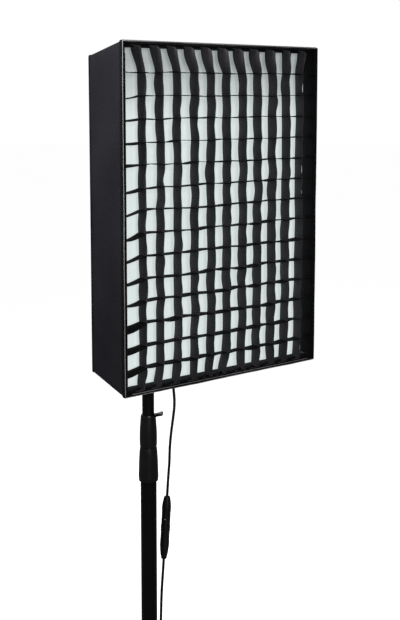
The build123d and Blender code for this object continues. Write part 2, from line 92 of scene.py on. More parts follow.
def noise(nodes, links, scale, detail=3.0, stretch=(1, 1, 1)):
    """Noise over the piece's own coordinates, with features about 1/scale metres across."""
    mapping = nodes.new("ShaderNodeMapping")
    mapping.inputs["Scale"].default_value = stretch
    links.new(coordinates(nodes), mapping.inputs["Vector"])
    tex = nodes.new("ShaderNodeTexNoise")
    tex.inputs["Scale"].default_value = scale
    tex.inputs["Detail"].default_value = detail
    links.new(mapping.outputs["Vector"], tex.inputs["Vector"])
    return tex.outputs["Fac"]


def ramp(nodes, links, factor, low, high, start=0.3, end=0.7):
    """A colour ramp between two colours."""
    r = nodes.new("ShaderNodeValToRGB")
    r.color_ramp.elements[0].position, r.color_ramp.elements[1].position = start, end
    r.color_ramp.elements[0].color, r.color_ramp.elements[1].color = (*low, 1), (*high, 1)
    links.new(factor, r.inputs["Fac"])
    return r.outputs["Color"]


def bump(nodes, links, shader, height, strength, distance):
    b = nodes.new("ShaderNodeBump")
    b.inputs["Strength"].default_value = strength
    b.inputs["Distance"].default_value = distance
    links.new(height, b.inputs["Height"])
    links.new(b.outputs["Normal"], shader.inputs["Normal"])
    return b


def weave(nodes, links, period):
    """Two crossing sets of threads, as a height from 0 to 1."""
    waves = []
    for direction in ("X", "Z", "Y"):
        w = nodes.new("ShaderNodeTexWave")
        w.bands_direction = direction
        w.inputs["Scale"].default_value = 1 / (period * 20) * 2 * math.pi
        links.new(coordinates(nodes), w.inputs["Vector"])
        waves.append(w.outputs["Fac"])
    first = nodes.new("ShaderNodeMath")
    first.operation = "MAXIMUM"
    links.new(waves[0], first.inputs[0])
    links.new(waves[1], first.inputs[1])
    both = nodes.new("ShaderNodeMath")
    both.operation = "MULTIPLY_ADD"
    links.new(waves[2], both.inputs[0])
    both.inputs[1].default_value = 0.4
    links.new(first.outputs[0], both.inputs[2])
    return both.outputs[0]


def cloth_material(name, low, high, rough=0.85, period=0.0012, sheen=0.25, wrinkle=0.35, stretch=(1, 1, 1),
                   **sockets):
    """Woven cloth with mottled colour, a thread bump and soft creases."""
    m, nodes, links, shader = new_material(name, high, rough, Specular_IOR_Level=0.08, **sockets)
    shader.inputs["Sheen Weight"].default_value = sheen
    shader.inputs["Sheen Roughness"].default_value = 0.45
    links.new(ramp(nodes, links, noise(nodes, links, 9, 6, stretch), low, high), shader.inputs["Base Color"])
    crease = bump(nodes, links, shader, noise(nodes, links, 26, 4), wrinkle, 0.003)
    threads = nodes.new("ShaderNodeBump")
    threads.inputs["Strength"].default_value = 0.35
    threads.inputs["Distance"].default_value = 0.0004
    links.new(weave(nodes, links, period), threads.inputs["Height"])
    links.new(crease.outputs["Normal"], threads.inputs["Normal"])
    links.new(threads.outputs["Normal"], shader.inputs["Normal"])
    return m


def paint_shade_along(material, axis, start, end, at_start, at_end, socket):
    """Paint shade by grading one socket's value along an axis of the piece's own coordinates."""
    nodes, links = material.node_tree.nodes, material.node_tree.links
    separate = nodes.new("ShaderNodeSeparateXYZ")
    links.new(coordinates(nodes), separate.inputs[0])
    grade = nodes.new("ShaderNodeMapRange")
    for key, value in (("From Min", start), ("From Max", end), ("To Min", at_start), ("To Max", at_end)):
        grade.inputs[key].default_value = value
    links.new(separate.outputs[axis], grade.inputs["Value"])
    links.new(grade.outputs["Result"], nodes["Principled BSDF"].inputs[socket])


def plastic_material(name, low, high, rough=0.42, grain=900, strength=0.12, specular=0.35, **sockets):
    """Moulded or painted black finish with a fine grain and rubbed patches."""
    m, nodes, links, shader = new_material(name, high, rough, Specular_IOR_Level=specular, **sockets)
    links.new(ramp(nodes, links, noise(nodes, links, 30, 5), low, high), shader.inputs["Base Color"])
    spread = nodes.new("ShaderNodeMapRange")
    spread.inputs["To Min"].default_value = rough - 0.07
    spread.inputs["To Max"].default_value = rough + 0.1
    links.new(noise(nodes, links, 55, 4), spread.inputs["Value"])
    links.new(spread.outputs["Result"], shader.inputs["Roughness"])
    bump(nodes, links, shader, noise(nodes, links, grain, 2), strength, 0.0005)
    return m


def metal_material(name, low, high, rough=0.3, stretch=(1, 1, 30)):
    """Bare metal with fine drawn or turned lines."""
    m, nodes, links, shader = new_material(name, high, rough, Metallic=1.0)
    links.new(ramp(nodes, links, noise(nodes, links, 60, 3, stretch), low, high), shader.inputs["Base Color"])
    bump(nodes, links, shader, noise(nodes, links, 260, 2, stretch), 0.15, 0.0003)
    return m


def glass_material(name, color, rough, transmission):
    m, nodes, links, shader = new_material(name, color, rough, Transmission_Weight=transmission, IOR=1.45)
    darker = [c * 0.9 for c in color]
    links.new(ramp(nodes, links, noise(nodes, links, 25, 3), darker, color), shader.inputs["Base Color"])
    bump(nodes, links, shader, noise(nodes, links, 400, 2), 0.05, 0.0003)
    return m


BLACK_CLOTH = cloth_material(
    "black_nylon", (0.017, 0.0162, 0.0205), (0.025, 0.0238, 0.0295), sheen=0.0, wrinkle=0.2)
# Painted shade: the seam beads are painted darker than the walls' cloth, for the dark line of shade along the
# rear edge and the corners.
SHADED_SEAM_CLOTH = cloth_material("seam_cloth_painted_shade", (0.006, 0.006, 0.007), (0.011, 0.011, 0.0125), sheen=0.0)
# Painted light: the upright grid strips are the walls' black nylon, given a lighter colour for the light that
# reaches them from the front.
LIT_GRID_CLOTH = cloth_material(
    "grid_nylon", (0.050, 0.0485, 0.056), (0.078, 0.0755, 0.086), sheen=0.0, wrinkle=0.5)
# Painted shade: the level strips are the same cloth as the upright ones, painted darker for the shade on
# them.
SHADED_LEVEL_CLOTH = cloth_material(
    "grid_nylon_painted_shade", (0.004, 0.004, 0.0045), (0.007, 0.007, 0.008), sheen=0.0, wrinkle=0.5)
INNER_CLOTH = cloth_material("inner_nylon", (0.007, 0.007, 0.0085), (0.012, 0.012, 0.014), sheen=0.0)
# The diffuser's weak emission is partly the lamp's own low glow and partly painted light, for light falling
# on it from the front.
DIFFUSER_CLOTH = cloth_material(
    "diffuser_nylon", (0.60, 0.65, 0.655), (0.78, 0.82, 0.815), rough=0.7, sheen=0.0, wrinkle=0.25,
    stretch=(22, 22, 1.2), Emission_Color=(0.90, 1.0, 0.975, 1), Emission_Strength=0.5)
# Painted shade: the emission is made weaker towards the top, for the shade under the top lip.
paint_shade_along(DIFFUSER_CLOTH, "Z", AXIS_Z + 0.29, AXIS_Z + 0.19, 0.27, 0.62, "Emission Strength")
BAFFLE_CLOTH = cloth_material("baffle_nylon", (0.75, 0.76, 0.74), (0.86, 0.87, 0.85), rough=0.75, sheen=0.1)
# The piping's light grey is partly the cord's own tone and partly a painted highlight along the binding's
# edge. The dark copy is painted shade on the right edge's bead, and also dresses the top and left inner
# cords.
PIPING = cloth_material(
    "piping_cord", (0.30, 0.295, 0.31), (0.50, 0.49, 0.51), rough=0.6, period=0.0016, sheen=0.1)
PIPING_DARK = cloth_material(
    "piping_cord_dark", (0.015, 0.015, 0.016), (0.05, 0.05, 0.055), rough=0.6, period=0.0016, sheen=0.05)
BINDING = cloth_material(
    "binding_tape", (0.006, 0.006, 0.007), (0.011, 0.011, 0.0125), period=0.0018, sheen=0.0)
TUBE_PAINT = plastic_material(
    "tube_paint", (0.0020, 0.0020, 0.0027), (0.0034, 0.0033, 0.0044), rough=0.33, specular=0.26)
COLLAR_BLACK = plastic_material(
    "collar_plastic", (0.0045, 0.0044, 0.0056), (0.0085, 0.0082, 0.0102), rough=0.30, specular=0.5)
KNOB_BLACK = plastic_material("knob_plastic", (0.008, 0.008, 0.009), (0.016, 0.016, 0.018), rough=0.5)
CAST_BLACK = plastic_material(
    "cast_metal", (0.015, 0.015, 0.017), (0.028, 0.028, 0.031), rough=0.5, grain=1400, strength=0.3)
HEAD_PAINT = plastic_material(
    "head_paint", (0.020, 0.021, 0.024), (0.034, 0.035, 0.039), rough=0.5, grain=2200, strength=0.35)
PANEL_BLACK = plastic_material(
    "panel_plastic", (0.011, 0.011, 0.012), (0.020, 0.020, 0.022), rough=0.46, grain=1500)
RUBBER = plastic_material("rubber", (0.010, 0.010, 0.010), (0.020, 0.020, 0.020), rough=0.75, specular=0.25)
CORD_RUBBER = plastic_material(
    "cord_rubber", (0.007, 0.007, 0.008), (0.012, 0.012, 0.014), rough=0.5, grain=1600)
COUPLER_BLACK = plastic_material("coupler_plastic", (0.009, 0.009, 0.010), (0.016, 0.016, 0.018), rough=0.4)
TIE_CLOTH = cloth_material("tie_cloth", (0.012, 0.012, 0.013), (0.022, 0.022, 0.024), period=0.002)
FIBRE = plastic_material("fibre_rod", (0.05, 0.05, 0.05), (0.09, 0.09, 0.09), rough=0.4)
BOARD_GREEN = plastic_material("board_green", (0.01, 0.05, 0.02), (0.02, 0.09, 0.04), rough=0.5)
STEEL = metal_material("turned_steel", (0.42, 0.42, 0.44), (0.62, 0.62, 0.64))
ALUMINIUM = metal_material("reflector_aluminium", (0.62, 0.62, 0.63), (0.80, 0.80, 0.81), rough=0.22)
WINDOW = plastic_material(
    "display_gloss", (0.010, 0.014, 0.020), (0.016, 0.022, 0.030), rough=0.1, strength=0.02, specular=0.6)
FROSTED = glass_material("frosted_glass", (0.92, 0.92, 0.88), 0.45, 0.75)
LAMP_GLASS = glass_material("lamp_glass", (0.95, 0.92, 0.84), 0.08, 0.9)
BRIGHT_DOT = plastic_material("bright_dot_white", (0.55, 0.55, 0.56), (0.8, 0.8, 0.8), rough=0.25, specular=0.8)

SLOT_MATERIAL = {
    "black_fabric": BLACK_CLOTH, "white_fabric": DIFFUSER_CLOTH, "grey_binding": BINDING,
    "black_tube": TUBE_PAINT, "collar_plastic": COLLAR_BLACK, "knob_plastic": KNOB_BLACK,
    "foot_rubber": RUBBER, "bright_steel": STEEL,
    "cast_metal": CAST_BLACK, "head_paint": HEAD_PAINT, "panel_plastic": PANEL_BLACK, "display_glass": WINDOW,
    "front_aluminium": ALUMINIUM, "frosted_glass": FROSTED, "lamp_glass": LAMP_GLASS, "fibre_rod": FIBRE,
    "cord_rubber": CORD_RUBBER, "coupler_plastic": COUPLER_BLACK,
}


def dress_nodes():
    """Give each CAD node the procedural material of its slot."""
    for row in frame["record"]["subparts"]:
        node = NODES[row["node"]]
        node.data.materials.clear()
        node.data.materials.append(SLOT_MATERIAL[row["material_slot"]])
    NODES["power_electronics"].data.materials[0] = BOARD_GREEN


# ---------------------------------------------------------------- mesh helpers
def mesh_object(name, verts, faces, material, body, smooth=True):
    data = bpy.data.meshes.new(name)
    data.from_pydata([tuple(v) for v in verts], [], faces)
    data.validate()
    data.update()
    for p in data.polygons:
        p.use_smooth = smooth
    obj = bpy.data.objects.new(name, data)
    bpy.context.scene.collection.objects.link(obj)
    obj.data.materials.append(material)
    if body:
        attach(obj, body)
    return obj


def grid_faces(rows, columns, closed=False):
    """Quads over a rows x columns lattice of points, closed round the columns if asked."""
    faces = []
    for r in range(rows - 1):
        for c in range(columns if closed else columns - 1):
            n = (c + 1) % columns
            a, b = r * columns, (r + 1) * columns
            faces.append((a + c, a + n, b + n, b + c))
    return faces


def thicken(obj, thickness, offset):
    """Give an open sheet a thickness and apply it. offset 1 grows outward, 0 both ways."""
    s = obj.modifiers.new("thickness", "SOLIDIFY")
    s.thickness = thickness
    s.offset = offset
    s.use_even_offset = True
    apply_modifiers(obj)


def apply_modifiers(obj):
    graph = bpy.context.evaluated_depsgraph_get()
    done = bpy.data.meshes.new_from_object(obj.evaluated_get(graph))
    obj.modifiers.clear()
    obj.data = done


def tube_along(name, points, radius, material, body, closed=False, sides=10):
    """A round bead along a line of points. radius is one number, or one for each point."""
    pts = [Vector(p) for p in points]
    n = len(pts)
    radii = radius if isinstance(radius, (list, tuple)) else [radius] * n
    verts = []
    side = Vector((0, 1, 0))
    for i, p in enumerate(pts):
        ahead = pts[(i + 1) % n] if closed or i + 1 < n else p
        behind = pts[i - 1] if closed or i else p
        along = (ahead - behind).normalized()
        side = (side - along * side.dot(along)).normalized()
        up = along.cross(side)
        for k in range(sides):
            a = 2 * math.pi * k / sides
            verts.append(p + side * (math.cos(a) * radii[i]) + up * (math.sin(a) * radii[i]))
    faces = grid_faces(n, sides, True)
    if closed:
        last = (n - 1) * sides
        faces += [(last + k, last + (k + 1) % sides, (k + 1) % sides, k) for k in range(sides)]
    else:
        faces += [tuple(reversed(range(sides))), tuple(range((n - 1) * sides, n * sides))]
    return mesh_object(name, verts, faces, material, body)


def wobble(seed):
    """A smooth repeatable curve: a sum of a few sines with random phases."""
    r = random.Random(seed)
    waves = [(r.uniform(0.4, 1.0) / k, k, r.uniform(0, 2 * math.pi)) for k in (1, 2, 3, 5, 8)]
    total = sum(w[0] for w in waves)
    return lambda t: sum(a * math.sin(2 * math.pi * k * t + ph) for a, k, ph in waves) / total


# ---------------------------------------------------------------- softbox skin
def perimeter(half_w, half_h, radius, per_side=44, corner=5):
    """Points (x, z) round a rectangle with rounded corners, from its right side up and over to the left."""
    out = []
    centres = [(1, 1, 0), (-1, 1, 90), (-1, -1, 180), (1, -1, 270)]
    for k, (sx, sz, a0) in enumerate(centres):
        cx, cz = sx * (half_w - radius), sz * (half_h - radius)
        for i in range(corner + 1):
            a = math.radians(a0 + 90 * i / corner)
            out.append((cx + radius * math.cos(a), cz + radius * math.sin(a)))
        nx, nz, na = centres[(k + 1) % 4]
        ex = nx * (half_w - radius) + radius * math.cos(math.radians(na))
        ez = nz * (half_h - radius) + radius * math.sin(math.radians(na))
        x, z = out[-1]
        for i in range(1, per_side):
            t = i / per_side
            out.append((x + (ex - x) * t, z + (ez - z) * t))
    return np.array(out)


def softbox_sides():
    """The four side walls, one continuous band of cloth stretched over the corner rods."""
    steps = 14
    front = perimeter(*FRONT_HALF, CORNER_R)
    rear = perimeter(*REAR_HALF, CORNER_R)
    n = len(front)
    per = n // 4
    sag = [wobble(40 + k) for k in range(4)]
    verts = []
    for r in range(steps + 1):
        t = r / steps
        y = FRONT_Y + WALL_START + (REAR_Y - FRONT_Y - WALL_START) * t
        for c in range(n):
            x, z = front[c] * (1 - t) + rear[c] * t
            k = c // per
            u = (c % per) / per
            hold = math.sin(math.pi * min(1, max(0, (u - 0.11) / 0.89))) ** 0.7 if u > 0.11 else 0.0
            pull = 0.0032 * hold * math.sin(math.pi * t) + 0.0011 * hold * sag[k](u + 0.3 * t)
            inward = np.array([(0, -1), (1, 0), (0, 1), (-1, 0)][k])
            verts.append((x + inward[0] * pull, y, z + AXIS_Z + inward[1] * pull))
    faces = grid_faces(steps + 1, n, True)
    side = mesh_object("softbox_sides", verts, faces, BLACK_CLOTH, "softbox")
    thicken(side, CLOTH, 1.0)
    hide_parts("skin_left", "skin_right", "skin_top", "skin_bottom")


def softbox_back():
    """The shallow pyramid of cloth behind the box, from the rear edges to the speed ring's neck."""
    steps = 18
    rear = perimeter(*REAR_HALF, CORNER_R)
    n = len(rear)
    verts = []
    creases = wobble(71)
    for r in range(steps + 1):
        t = r / steps
        for c in range(n):
            x, z = rear[c]
            a = math.atan2(z / REAR_HALF[1], x / REAR_HALF[0])
            nx, nz = NECK_R * math.cos(a), NECK_R * math.sin(a)
            y = REAR_Y + (NECK_Y - REAR_Y) * t
            slack = 0.0035 * math.sin(math.pi * t) * abs(math.sin(2 * a)) ** 0.5
            y += 0.0012 * math.sin(math.pi * t) * creases(a / (2 * math.pi) * 2)
            verts.append((x * (1 - t) + nx * t, y - slack, z * (1 - t) + nz * t + AXIS_Z))
    faces = grid_faces(steps + 1, n, True)
    back = mesh_object("softbox_back", verts, faces, BLACK_CLOTH, "softbox")
    thicken(back, CLOTH, 1.0)
    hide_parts("skin_rear")


def rim_points(half_w, half_h, radius, y, ripple, seed):
    """Points in a ring round the box at y, with a slight ripple."""
    wave = wobble(seed)
    p = perimeter(half_w, half_h, radius, 60, 6)
    return [(x, y + ripple * wave(3 * i / len(p)), z + AXIS_Z) for i, (x, z) in enumerate(p)]


def piping():
    """The light piping on the binding: a bead along each edge, and thinner cords inside three of them. Its
    light grey is partly the cord's own tone and partly a painted highlight; the right edge's bead is painted
    dark as painted shade.
    """
    w, h = PIPING_HALF
    edges = {
        "top": [(-w, h), (w - 0.004, h)], "left": [(-w, -h), (-w, h)], "bottom": [(-w, -h), (w - 0.002, -h)],
        "right": [(w, -h), (w, h)],
    }
    for name, ((x0, z0), (x1, z1)) in edges.items():
        wave = wobble(len(name) * 7)
        points = []
        for i in range(81):
            t = i / 80
            slack = 0.0005 * wave(2 * t)
            x = x0 + (x1 - x0) * t + slack * (z1 != z0)
            z = AXIS_Z + z0 + (z1 - z0) * t + slack * (x1 != x0)
            points.append((x, PIPING_Y - 0.0003 * wave(3 * t + 0.4), z))
        # Painted shade: the right edge's bead is dark, for the side turned away from the light.
        material = PIPING_DARK if name == "right" else PIPING
        radius = PIPING_R * (1.4 if name == "top" else 0.85)
        tube_along(f"piping_{name}", points, radius, material, "softbox")
    insets = (("top", 0.0036, PIPING_DARK), ("bottom", 0.0042, PIPING), ("left", 0.0052, PIPING_DARK))
    for name, inset, material in insets:
        (x0, z0), (x1, z1) = edges[name]
        if name == "left":
            x0, x1 = x0 + inset, x1 + inset
        else:
            side = 1 if name == "top" else -1
            z0, z1 = z0 - side * inset, z1 - side * inset
        points = [(x0 + (x1 - x0) * t / 60, STITCH_Y, AXIS_Z + z0 + (z1 - z0) * t / 60) for t in range(2, 59)]
        tube_along(f"stitch_cord_{name}", points, STITCH_R, material, "softbox")


def edge_trim():
    """Binding tape folded over the front edge, its piping, and the seams of the rear edge and the corners."""
    tape_rows = [
        (0.2496, 0.3246, -0.2420), (0.2506, 0.3256, -0.2424), (0.2510, 0.3260, -0.2462),
        (0.2502, 0.3252, -0.2486), (0.2475, 0.3225, -0.2492), (0.2446, 0.3196, -0.2480),
        (0.2436, 0.3186, -0.2420),
    ]                                                   # half width, half height and y of each fold
    rings = [perimeter(w, h, CORNER_R) for w, h, _ in tape_rows]
    wave = wobble(12)
    verts = []
    for (w, h, y), ring in zip(tape_rows, rings):
        for i, (x, z) in enumerate(ring):
            lift = 0.0006 * wave(6 * i / len(ring))
            verts.append((x, y + lift, z + AXIS_Z))
    faces = grid_faces(len(tape_rows), len(rings[0]), True)
    tape = mesh_object("binding_tape", verts, faces, BINDING, "softbox")
    thicken(tape, TAPE_T, 1.0)
    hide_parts("front_binding")
    piping()
    # The rear seam and the corner seams use the darker seam cloth, which is painted shade along the edges.
    seam = rim_points(0.2282, 0.3032, CORNER_R, REAR_Y + 0.0004, 0.0003, 3)
    tube_along("rear_seam", seam, 0.0010, SHADED_SEAM_CLOTH, "softbox", closed=True)
    for sx in (-1, 1):
        for sz in (-1, 1):
            pts = []
            for i in range(13):
                y = FRONT_Y + 0.011 + (REAR_Y - FRONT_Y - 0.011) * i / 12
                t = (y - FRONT_Y - WALL_START) / (REAR_Y - FRONT_Y - WALL_START)
                w, h = FRONT_HALF[0] * (1 - t) + REAR_HALF[0] * t, FRONT_HALF[1] * (1 - t) + REAR_HALF[1] * t
                inset = CORNER_R * (1 - math.sqrt(0.5))
                pts.append((sx * (w - inset - 0.0004), y, AXIS_Z + sz * (h - inset - 0.0004)))
            name = f"corner_seam_{'right' if sx > 0 else 'left'}_{'top' if sz > 0 else 'bottom'}"
            tube_along(name, pts, 0.0007, SHADED_SEAM_CLOTH, "softbox")


def lining():
    """The black facing from the binding back to the diffuser, which forms the dark inner walls."""
    rows = [
        (0.2436, 0.3186, -0.2465), (0.2450, 0.3166, -0.2440), (0.2452, 0.3158, -0.2405),
        (0.2440, 0.3156, -0.2300), (0.2425, 0.3153, -0.2180),
    ]                                                   # half width, half height and y of each row
    rings = [perimeter(w, h, FACING_CORNER_R) for w, h, _ in rows]
    wave = [wobble(90 + k) for k in range(len(rows))]
    verts = []
    for k, ((w, h, y), ring) in enumerate(zip(rows, rings)):
        for i, (x, z) in enumerate(ring):
            s = 0.0014 * wave[k](5 * i / len(ring)) if 0 < k < 4 else 0.0
            verts.append((x * (1 - abs(s) * 3), y + s, z + AXIS_Z + s * 0.6))
    faces = grid_faces(len(rows), len(rings[0]), True)
    facing = mesh_object("front_facing", verts, faces, INNER_CLOTH, "softbox")
    thicken(facing, FACING_T, 1.0)


def flat_cloth(name, half_w, half_h, y, amplitude, material, seed, replaces):
    """A white panel held at its edges, with faint vertical pulls."""
    columns, rows = 60, 74
    a, b = wobble(seed), wobble(seed + 1)
    verts = []
    for r in range(rows + 1):
        v = r / rows
        for c in range(columns + 1):
            u = c / columns
            hold = (math.sin(math.pi * u) * math.sin(math.pi * v)) ** 0.5
            lift = amplitude * (0.7 * hold * a(2 * u + 0.15 * b(v)) + 0.5 * hold * b(1.5 * v + 0.2 * a(u)))
            verts.append((half_w * (2 * u - 1), y + lift, AXIS_Z + half_h * (2 * v - 1)))
    panel = mesh_object(name, verts, grid_faces(rows + 1, columns + 1), material, "softbox")
    thicken(panel, PANEL_T, 0.0)
    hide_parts(replaces)


# ---------------------------------------------------------------- egg-crate grid
def bulge(x, z):
    """How far the grid's front stands forward of the box's edge: most in the middle."""
    u, v = min(1, abs(x) / GRID_HALF[0]), min(1, abs(z) / GRID_HALF[1])
    return 0.002 + 0.014 * (1 - u ** 3) ** 0.8 * (1 - 0.35 * v ** 4)


def grid_lattice():
    """Where the strips cross: x and z of each crossing, sewn a little unevenly."""
    r = random.Random(21)
    pitch_x = 2 * GRID_HALF[0] / COLUMNS
    xs = np.zeros((ROWS + 1, COLUMNS + 1))
    zs = np.zeros((ROWS + 1, COLUMNS + 1))
    for j in range(ROWS + 1):
        for i in range(COLUMNS + 1):
            inner_x, inner_z = 0 < i < COLUMNS, 0 < j < ROWS
            xs[j, i] = -GRID_HALF[0] + pitch_x * i + (r.gauss(0, 0.0009) if inner_x else 0)
            zs[j, i] = GRID_HALF[1] - ROW_PITCH * j + (r.gauss(0, 0.0008) if inner_z else 0)
    xs[1:, 1] += 0.0022                 # the first column is a little wider
    for i in range(1, COLUMNS):
        xs[0, i] -= 0.0062 if i < 8 else 0.003 - 0.0035 * (i - 8)    # the top ends are fastened to one side
        xs[ROWS, i] += r.gauss(-0.0035, 0.002) if i < 7 else r.gauss(0.003, 0.0015)
    return xs, zs


def strip_mesh(front, rear):
    """Vertices and faces of a strip from its front and rear edges, with five rows across its depth."""
    verts = []
    shares = (0.0, 0.035, 0.3, 0.65, 1.0)
    for across in shares:
        for f, b in zip(front, rear):
            verts.append(f * (1 - across) + b * across)
    return verts, grid_faces(len(shares), len(front))


def grid_strips():
    """Eleven upright and fourteen level strips of black cloth, each bowing between its crossings."""
    xs, zs = grid_lattice()
    r = random.Random(77)
    steps = 9
    verts, faces, level = [], [], []

    def add(front, rear, is_level):
        v, f = strip_mesh(front, rear)
        start = len(verts)
        verts.extend(v)
        faces.extend(tuple(start + k for k in q) for q in f)
        level.extend([is_level] * len(f))

    for i in range(1, COLUMNS):
        front, rear = [], []
        lean_back = 0.006 if i < 10 else 0.002
        for j in range(ROWS):
            bow = r.gauss(-0.0002, 0.0013)
            rear_bow = bow * 0.6 + r.gauss(-0.0004, 0.0011)
            skew = r.gauss(0, 0.0008)
            if i == COLUMNS - 1:            # the last strip lies against the inner wall
                rear_bow = 0.0004
            if j == 0:
                bow = r.uniform(-0.0008, 0.0008)
                rear_bow = -0.0035 - 0.002 * r.random() if 3 < i < 10 else -0.0005
            for k in range(steps + (1 if j == ROWS - 1 else 0)):
                t = k / steps
                ease = t * t * (3 - 2 * t)
                x = xs[j, i] * (1 - ease) + xs[j + 1, i] * ease
                z = zs[j, i] * (1 - t) + zs[j + 1, i] * t
                s = math.sin(math.pi * t)
                y = FRONT_Y - bulge(x, z)
                back = -lean_back * (1 - t) ** 2 if j == 0 else 0.0
                front.append(np.array((x + bow * s + skew * math.sin(2 * math.pi * t), y, z + AXIS_Z)))
                rear_x = x * (1.006 if i == COLUMNS - 1 else 0.998) + rear_bow * s + back
                rear.append(np.array((rear_x, y + STRIP_DEPTH, z + AXIS_Z)))
        for end, z in ((0, STRIP_END_Z), (-1, -STRIP_END_Z)):       # each end is sewn flat on the facing
            f = np.array((front[end][0], FRONT_Y - 0.0016, z + AXIS_Z))
            b = np.array((front[end][0] - STRIP_END_TURN, FRONT_Y - 0.0008, z + AXIS_Z))
            front.insert(0 if end == 0 else len(front), f)
            rear.insert(0 if end == 0 else len(rear), b)
        add(front, rear, False)

    # how far each level strip hangs and turns at its left end, from the top row down
    droops = [0, 0.006, 0.004, 0.003, 0.002, 0.011, 0.013, 0.012, 0.013, 0.012, 0.012, 0.011, 0.012, 0.011]
    twists = [0, 0.002, 0.001, 0.002, 0.005, -0.001] + [-0.003] * 5 + [0.009, 0.007, 0.006]
    for j in range(1, ROWS):
        front, rear = [], []
        droop, twist = droops[j - 1] * r.uniform(0.85, 1.15), twists[j - 1] * 0.5
        for i in range(COLUMNS):
            bow = r.gauss(-0.0003, 0.0011)
            rear_bow = bow * 0.5 + r.gauss(0, 0.0006)
            for k in range(steps + (1 if i == COLUMNS - 1 else 0)):
                t = k / steps
                ease = t * t * (3 - 2 * t)
                x = xs[j, i] * (1 - t) + xs[j, i + 1] * t
                z = zs[j, i] * (1 - ease) + zs[j, i + 1] * ease
                s = math.sin(math.pi * t)
                hang = droop * (1 - t ** 1.6) if i == 0 else 0.0
                turn = twist * (1 - t) if i == 0 else 0.0
                y = FRONT_Y - bulge(x, z)
                front.append(np.array((x, y, z + bow * s - hang - turn + AXIS_Z)))
                rear.append(np.array((x, y + STRIP_DEPTH, z + rear_bow * s - hang + turn + AXIS_Z)))
        add(front, rear, True)

    grid = mesh_object("egg_crate_grid", verts, faces, LIT_GRID_CLOTH, "softbox")
    # The level strips get the darker copy of the grid cloth, which is painted shade; the upright strips get
    # the lighter copy, which is painted light.
    grid.data.materials.append(SHADED_LEVEL_CLOTH)
    for polygon, is_level in zip(grid.data.polygons, level):
        polygon.material_index = 1 if is_level else 0
    thicken(grid, STRIP_T, 0.0)
    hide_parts("grid")


# ---------------------------------------------------------------- lead
COUPLER_TOP, COUPLER_BOTTOM = (0.0518, 0.0, 0.752), (0.0415, 0.0, 0.612)
COUPLER_LEAN = (COUPLER_TOP[0] - COUPLER_BOTTOM[0]) / (COUPLER_TOP[2] - COUPLER_BOTTOM[2])
TAIL_HEAD = [
    (0.0395, 0.030, 1.322), (0.0395, 0.030, 1.305), (0.0408, 0.0255, 1.288), (0.0436, 0.014, 1.270),
    (0.046, 0.004, 1.252), (0.046, 0.004, 1.232),
]
TAIL_BRACKET = [
    (0.046, 0.004, 1.232), (0.046, 0.004, 1.215), (0.0436, 0.0024, 1.200), (0.040, 0, 1.184),
    (0.040, 0, 1.166),
]
LEAD_UPPER = [
    (0.040, 0, 1.166), (0.040, 0, 1.144), (0.046, 0.001, 1.110), (0.057, 0.002, 1.072), (0.066, 0.001, 1.030),
    (0.0715, 0, 0.990), (0.0735, -0.001, 0.958), (0.069, -0.001, 0.928), (0.064, 0, 0.896),
    (0.0605, 0.001, 0.862), (0.0596, 0.001, 0.828),
    (COUPLER_TOP[0] + 0.038 * COUPLER_LEAN, 0, COUPLER_TOP[2] + 0.038), COUPLER_TOP,
]
LEAD_LOWER = [
    COUPLER_BOTTOM, (COUPLER_BOTTOM[0] - 0.029 * COUPLER_LEAN, 0, COUPLER_BOTTOM[2] - 0.029),
    (0.0372, 0.0015, 0.548), (0.037, 0.004, 0.508), (0.040, 0.009, 0.468), (0.044, 0.016, 0.426),
    (0.048, 0.024, 0.384), (0.051, 0.032, 0.342), (0.053, 0.039, 0.300), (0.0545, 0.045, 0.258),
    (0.0553, 0.051, 0.216), (0.0556, 0.057, 0.174), (0.0555, 0.0635, 0.133), (0.055, 0.072, 0.095),
    (0.0545, 0.086, 0.059), (0.0545, 0.109, 0.028), (0.055, 0.142, 0.009), (0.055, 0.180, 0.0038),
    (0.0535, 0.216, 0.0032), (0.051, 0.246, 0.0032), (0.0495, 0.272, 0.0031),
]
COIL_CENTRE, COIL_MID_R, COIL_PITCH = (0.083, 0.300), 0.033, 0.0062
COIL_TURNS, TURN_POINTS = 9, 14
PLUG_START = (0.042, 0.318, 0.0152)


def coil_points():
    """The put-away turns, clockwise seen from above, three beside each other in three layers."""
    places = []
    for turn in range(COIL_TURNS):
        layer, column = divmod(turn, 3)
        across = (column - 1) * (-1 if layer % 2 else 1)
        places.append((COIL_MID_R - across * COIL_PITCH, 0.0032 + layer * 0.0060))
    points = []
    for k in range(TURN_POINTS - 1, COIL_TURNS * TURN_POINTS - 2):
        turn = (k + 3) // TURN_POINTS
        part = min(1, (k + 3) % TURN_POINTS / 5)        # it moves over to its next place in a third of a turn
        (r0, z0), (r1, z1) = places[max(turn - 1, 0)], places[min(turn, COIL_TURNS - 1)]
        ease = part * part * (3 - 2 * part)
        r, z = (r0 + (r1 - r0) * ease) * 1.03, z0 + (z1 - z0) * ease
        a = math.pi - 2 * math.pi * k / TURN_POINTS
        points.append((COIL_CENTRE[0] + r * math.cos(a), COIL_CENTRE[1] + r * math.sin(a), z))
    return points


def nurbs(name, points):
    """A smooth cord line: a NURBS spline with the route's points as its control points."""
    curve = bpy.data.curves.new(name, "CURVE")
    curve.dimensions = "3D"
    curve.resolution_u = 8
    spline = curve.splines.new("NURBS")
    spline.points.add(len(points) - 1)
    for p, co in zip(spline.points, points):
        p.co = (*co, 1)
    spline.order_u = 3
    spline.use_endpoint_u = True
    obj = bpy.data.objects.new(name, curve)
    bpy.context.scene.collection.objects.link(obj)
    return obj


